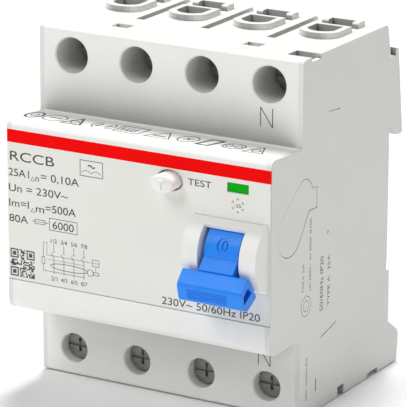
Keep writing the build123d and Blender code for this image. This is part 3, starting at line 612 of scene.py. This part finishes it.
def waveform_symbol(bm):
    """Boxed sine wave over a pulsed line, the usual sign of the type of residual current."""
    u0, u1 = LEFT + 20.0, LEFT + 26.1
    v0, v1 = 13.6, 17.3
    frame_box(bm, u0, v0, u1, v1, 0.16)
    middle, reach = (u0 + u1) / 2, 0.95
    wave = [(middle - reach + 2 * reach * i / 16, 16.0 + 0.27 * sin(2 * pi * i / 16)) for i in range(17)]
    stroke(bm, wave, 0.3)
    pulses = [(u0 + 0.4 + 5.2 * i / 32, 14.35 + 0.6 * abs(sin(2 * pi * i / 32))) for i in range(33)]
    stroke(bm, pulses, 0.12)


def pole_line(bm, u, pole):
    """One pole of the diagram: its upper terminal, open contact and line to the lower terminal."""
    top, contact, pivot, foot = -4.2, -6.1, -7.5, -11.4
    upper, lower = 2 * pole + 1, 2 * pole + 2
    stroke(bm, [(u, top), (u, contact)], 0.12)
    stroke(bm, [(u - 0.35, contact), (u + 0.35, contact)], 0.1)
    stroke(bm, [(u - 0.75, contact - 0.3), (u, pivot)], 0.12)
    stroke(bm, [(u, pivot), (u, foot)], 0.12)
    text(bm, f"{upper}/{lower}", u - 0.8, top + 0.3, 1.05, 1.7)
    text(bm, f"{lower}/{upper}", u - 0.8, foot - 1.6, 1.05, 1.7)


def test_branch(bm, left, last):
    """Test resistor and its loop from before the contacts to past the ring."""
    middle = left + 0.4
    top, foot = -7.6, -9.3
    frame_box(bm, left, foot, left + 0.8, top, 0.12)
    stroke(bm, [(middle, top), (middle, -4.0), (middle + 1.0, -4.0), (middle + 1.0, -6.8)], 0.1)
    stroke(bm, [(middle, foot), (middle, -10.9), (last, -10.9)], 0.1)


def relay_symbol(bm, left):
    """Relay over the ring's secondary coil."""
    right = left + 1.8
    middle = (left + right) / 2
    frame_box(bm, left, -7.8, right, -6.2, 0.12)
    stroke(bm, [(left, -7.0), (right, -7.0)], 0.08)
    stroke(bm, [(middle, -7.8), (middle, -9.2)], 0.1)
    ellipse(bm, left - 0.6, -9.5, 0.8, 0.8, 0.12, count=20)
    frame_box(bm, left + 0.3, -9.9, left + 1.7, -9.2, 0.12)


def circuit_diagram(bm):
    """Four switched poles through a summation ring, with the test branch and the relay."""
    left = LEFT + 9.3
    first = left + 3.3
    pitch = 2.75
    last = first + 3 * pitch
    for pole in range(4):
        pole_line(bm, first + pitch * pole, pole)
    ellipse(bm, (first + last) / 2, -9.4, (last - first) / 2 + 0.9, 0.8, 0.14)
    stroke(bm, [(left + 1.3, -7.0), (last + 2.0, -7.0)], 0.09)
    stroke(bm, [(left + 1.3, -8.0), (last, -8.0)], 0.07)
    test_branch(bm, left, last)
    relay_symbol(bm, last + 2.3)


def square_code(bm):
    """Neutral chequered patch in the place of a data square."""
    cells, corner = 21, 7
    step = 6.7 / cells
    u0 = LEFT + 0.55
    v0 = LABEL_BOTTOM + 0.75
    draw = random.Random(7)
    far = cells - corner
    corners = ((0, 0), (0, far), (far, far))
    for row in range(cells):
        for column in range(cells):
            clear = any(abs(row - r - 3) <= 4 and abs(column - c - 3) <= 4 for c, r in corners)
            if not clear and draw.random() < 0.5:
                u = u0 + column * step
                v = v0 + row * step
                bar(bm, u, v, u + step * 0.95, v + step * 0.95)
    for c, r in corners:
        u = u0 + c * step
        v = v0 + r * step
        reach = (corner - 0.5) * step
        frame_box(bm, u + step / 2, v + step / 2, u + reach, v + reach, step)
        bar(bm, u + 2 * step, v + 2 * step, u + 5 * step, v + 5 * step)


def rating_row(bm):
    """Long rating line along the label's lower edge."""
    text(bm, "230V~ 50/60Hz IP20", 6.9, LABEL_BOTTOM + 0.7, 1.85, 25.6)


def frost_symbol(bm):
    """Small six-armed frost star under the status window."""
    u, v, r = STATUS_X, 12.65, 1.7
    for i in range(6):
        a = radians(30 + 60 * i)
        tip = (u + r * cos(a), v + r * sin(a))
        stroke(bm, [(u + 0.72 * r * cos(a), v + 0.72 * r * sin(a)), tip], 0.09)
        for turn in (-40, 40):
            b = a + radians(turn)
            start = (u + 0.75 * r * cos(a), v + 0.75 * r * sin(a))
            stroke(bm, [start, (start[0] + 0.3 * r * cos(b), start[1] + 0.3 * r * sin(b))], 0.08)
    text(bm, "-25", u - 0.95, v - 0.38, 0.8, 1.8)


def label_print(bm):
    ratings(bm)
    waveform_symbol(bm)
    circuit_diagram(bm)
    square_code(bm)
    rating_row(bm)
    frost_symbol(bm)
    text(bm, "TEST", BUTTON_X + 4.75, BUTTON_Z - 0.3, 1.6, 6.1)


ink_piece("label_print", label_print, facing_front(LABEL_Y))


def neutral_marks(bm):
    """N beside the neutral pole's two terminals."""
    line, width, height = 0.22, 3.1, 4.5
    u0 = POLE_4_X - 2.1
    u1 = u0 + width
    for v0 in (LINE_Z - 9.9, LOAD_Z + 5.0):
        v1 = v0 + height
        stroke(bm, [(u0, v0), (u0, v1)], line)
        stroke(bm, [(u1, v0), (u1, v1)], line)
        stroke(bm, [(u0, v1), (u1, v0)], line)


ink_piece("neutral_marks", neutral_marks, facing_front(SHOULDER_Y))


def band_marks(bm):
    """Plain outline shapes along the top of the raised front; v runs to the rear."""
    fine, bold = 0.3, 0.55
    deep = 3.1
    ellipse(bm, -32.6, 0, 1.9, deep, bold)
    ellipse(bm, -32.6, 0, 0.8, 1.2, fine)
    ellipse(bm, -27.0, 0, 2.9, deep, fine)
    stroke(bm, [(-28.8, 0.3), (-25.2, 0.3)], bold)
    stroke(bm, [(-23.6, -deep), (-21.0, deep), (-18.4, -deep)], bold, closed=True)
    ellipse(bm, -21.0, -1.0, 1.0, 1.1, fine)
    ellipse(bm, -13.6, 0, 2.9, deep, fine, start=120, turn=120)
    ellipse(bm, -13.6, 0, 2.9, deep, fine, start=-60, turn=120)
    stroke(bm, [(-15.2, -1.3), (-14.6, 1.3)], bold)
    stroke(bm, [(-12.6, -1.3), (-12.0, 1.3)], bold)
    frame_box(bm, -9.6, -deep, -3.0, deep, fine)
    for u in (-8.6, -7.4, -6.2, -5.0):
        stroke(bm, [(u - 0.4, -1.7), (u, 1.7), (u + 0.4, -1.7)], 0.28)
    stroke(bm, [(-1.2, -deep), (2.4, deep), (5.4, -deep)], fine, closed=True)
    stroke(bm, [(0.4, -1.4), (3.8, -1.4)], bold)
    ellipse(bm, 8.9, 0, 2.4, deep, 0.3)
    stroke(bm, [(8.0, -1.1), (8.6, 1.2), (9.2, -1.1), (9.8, 1.2)], 0.35)
    stroke(bm, [(12.6, -deep), (13.6, deep), (16.6, deep), (15.6, -deep)], 0.7, closed=True)
    ellipse(bm, 20.8, 0, 2.7, deep * 0.85, fine)
    for u in (19.6, 22.0):
        ellipse(bm, u, 0, 0.8, 1.2, 0.3)
    stroke(bm, [(24.4, -deep), (27.0, deep), (29.6, -deep)], 0.3, closed=True)
    ellipse(bm, 27.0, -0.9, 1.0, 1.2, fine)


BAND_SLOPE = radians(-4.0)          # the top of the raised front falls a little to the rear
BAND_Y = -49.0                      # middle of the band of marks
BAND_Z = 23.53                      # height of the top there
band_place = (
    Matrix.Translation((0, BAND_Y * MM, BAND_Z * MM))
    @ Matrix.Rotation(BAND_SLOPE, 4, "X")
    @ Matrix.Diagonal((MM, MM, MM, 1))
)
ink_piece("band_marks", band_marks, band_place)


def side_print(bm):
    """Generic ratings up the right side wall; v runs to the front."""
    text(bm, "50/60Hz IP20", -17.6, 32.2, 1.6, 13.2)
    text(bm, "TYPE A  25A", -17.2, 29.0, 1.2, 12.4)
    text(bm, "Un 230V~  Im 500A  0,10A", -11.0, 38.2, 0.9, 17.4)
    text(bm, "TYPE A  25A", -10.7, 41.5, 0.8, 6.8)
    text(bm, "230V~ 50/60Hz IP20", -37.5, 39.4, 0.75, 10.6)
    ellipse(bm, -14.3, 40.4, 2.5, 2.4, 0.14, count=8)
    ellipse(bm, -14.3, 40.4, 1.3, 1.2, 0.12, count=20)


SIDE_PROUD = 0.005                  # the side print stands no further than this past the side wall
SIDE_X = cad_box[1][0] / MM + SIDE_PROUD - PRINT_PROUD
side_place = Matrix(((0, 0, MM, SIDE_X * MM), (0, -MM, 0, 0), (MM, 0, 0, 0), (0, 0, 0, 1)))
ink_piece("side_print", side_print, side_place)


# Stage, lights and camera; places in metres

FLOOR_DROP = 0.2                    # the floor lies this far under the object, in mm


def plain(name, color):
    material, tree, shader = new_material(name)
    coords = object_coordinates(tree)
    shade = tuple(c * 0.985 for c in color)
    tree.links.new(mix(tree, remap(tree, noise(tree, coords, 3.0), 0.0, 1.0), rgba(shade), rgba(color)),
                   shader.inputs["Base Color"])
    shader.inputs["Roughness"].default_value = 0.9
    return material


def floor():
    half = 6.0
    z = cad_box[0][2] - FLOOR_DROP * MM
    mesh = bpy.data.meshes.new("floor")
    corners = [(-half, -half, z), (half, -half, z), (half, half, z), (-half, half, z)]
    mesh.from_pydata(corners, [], [(0, 1, 2, 3)])
    mesh.materials.append(plain("pale_floor", (0.93, 0.93, 0.93)))
    made = bpy.data.objects.new("floor", mesh)
    bpy.context.scene.collection.objects.link(made)


def area_light(name, place, aim, size, power):
    light = bpy.data.lights.new(name, "AREA")
    light.energy = power
    light.size = size
    holder = bpy.data.objects.new(name, light)
    holder.location = place
    holder.rotation_euler = (Vector(aim) - Vector(place)).to_track_quat("-Z", "Y").to_euler()
    bpy.context.scene.collection.objects.link(holder)


def world(strength):
    made = bpy.data.worlds.new("studio")
    made.use_nodes = True
    made.node_tree.nodes["Background"].inputs["Color"].default_value = (1, 1, 1, 1)
    made.node_tree.nodes["Background"].inputs["Strength"].default_value = strength
    bpy.context.scene.world = made


AZIMUTH = radians(30.24)
ELEVATION = radians(16.59)
ROLL = radians(0.21)
DISTANCE = 0.7295
FOCAL_LENGTH = 275.3
TARGET = Vector((0.0018, -0.030, 0.0024))


def camera():
    ahead = Vector((-sin(AZIMUTH) * cos(ELEVATION), cos(AZIMUTH) * cos(ELEVATION), -sin(ELEVATION)))
    right = ahead.cross(Vector((0, 0, 1))).normalized()
    up = right.cross(ahead)
    turn = Matrix((right, up, -ahead)).transposed().to_4x4() @ Matrix.Rotation(ROLL, 4, "Z")
    data = bpy.data.cameras.new("camera")
    data.lens = FOCAL_LENGTH
    data.sensor_width = 36.0
    data.clip_end = 20.0
    holder = bpy.data.objects.new("camera", data)
    holder.matrix_world = Matrix.Translation(TARGET - ahead * DISTANCE) @ turn
    bpy.context.scene.collection.objects.link(holder)
    bpy.context.scene.camera = holder


MIDDLE = (0, -0.03, 0)
floor()
area_light("key", (-0.15, 0.68, 2.2), MIDDLE, 0.75, 46.0)
area_light("front", (-0.75, -1.4, 1.7), MIDDLE, 1.0, 20.0)
world(0.27)
camera()
bpy.context.scene.view_settings.view_transform = "Standard"
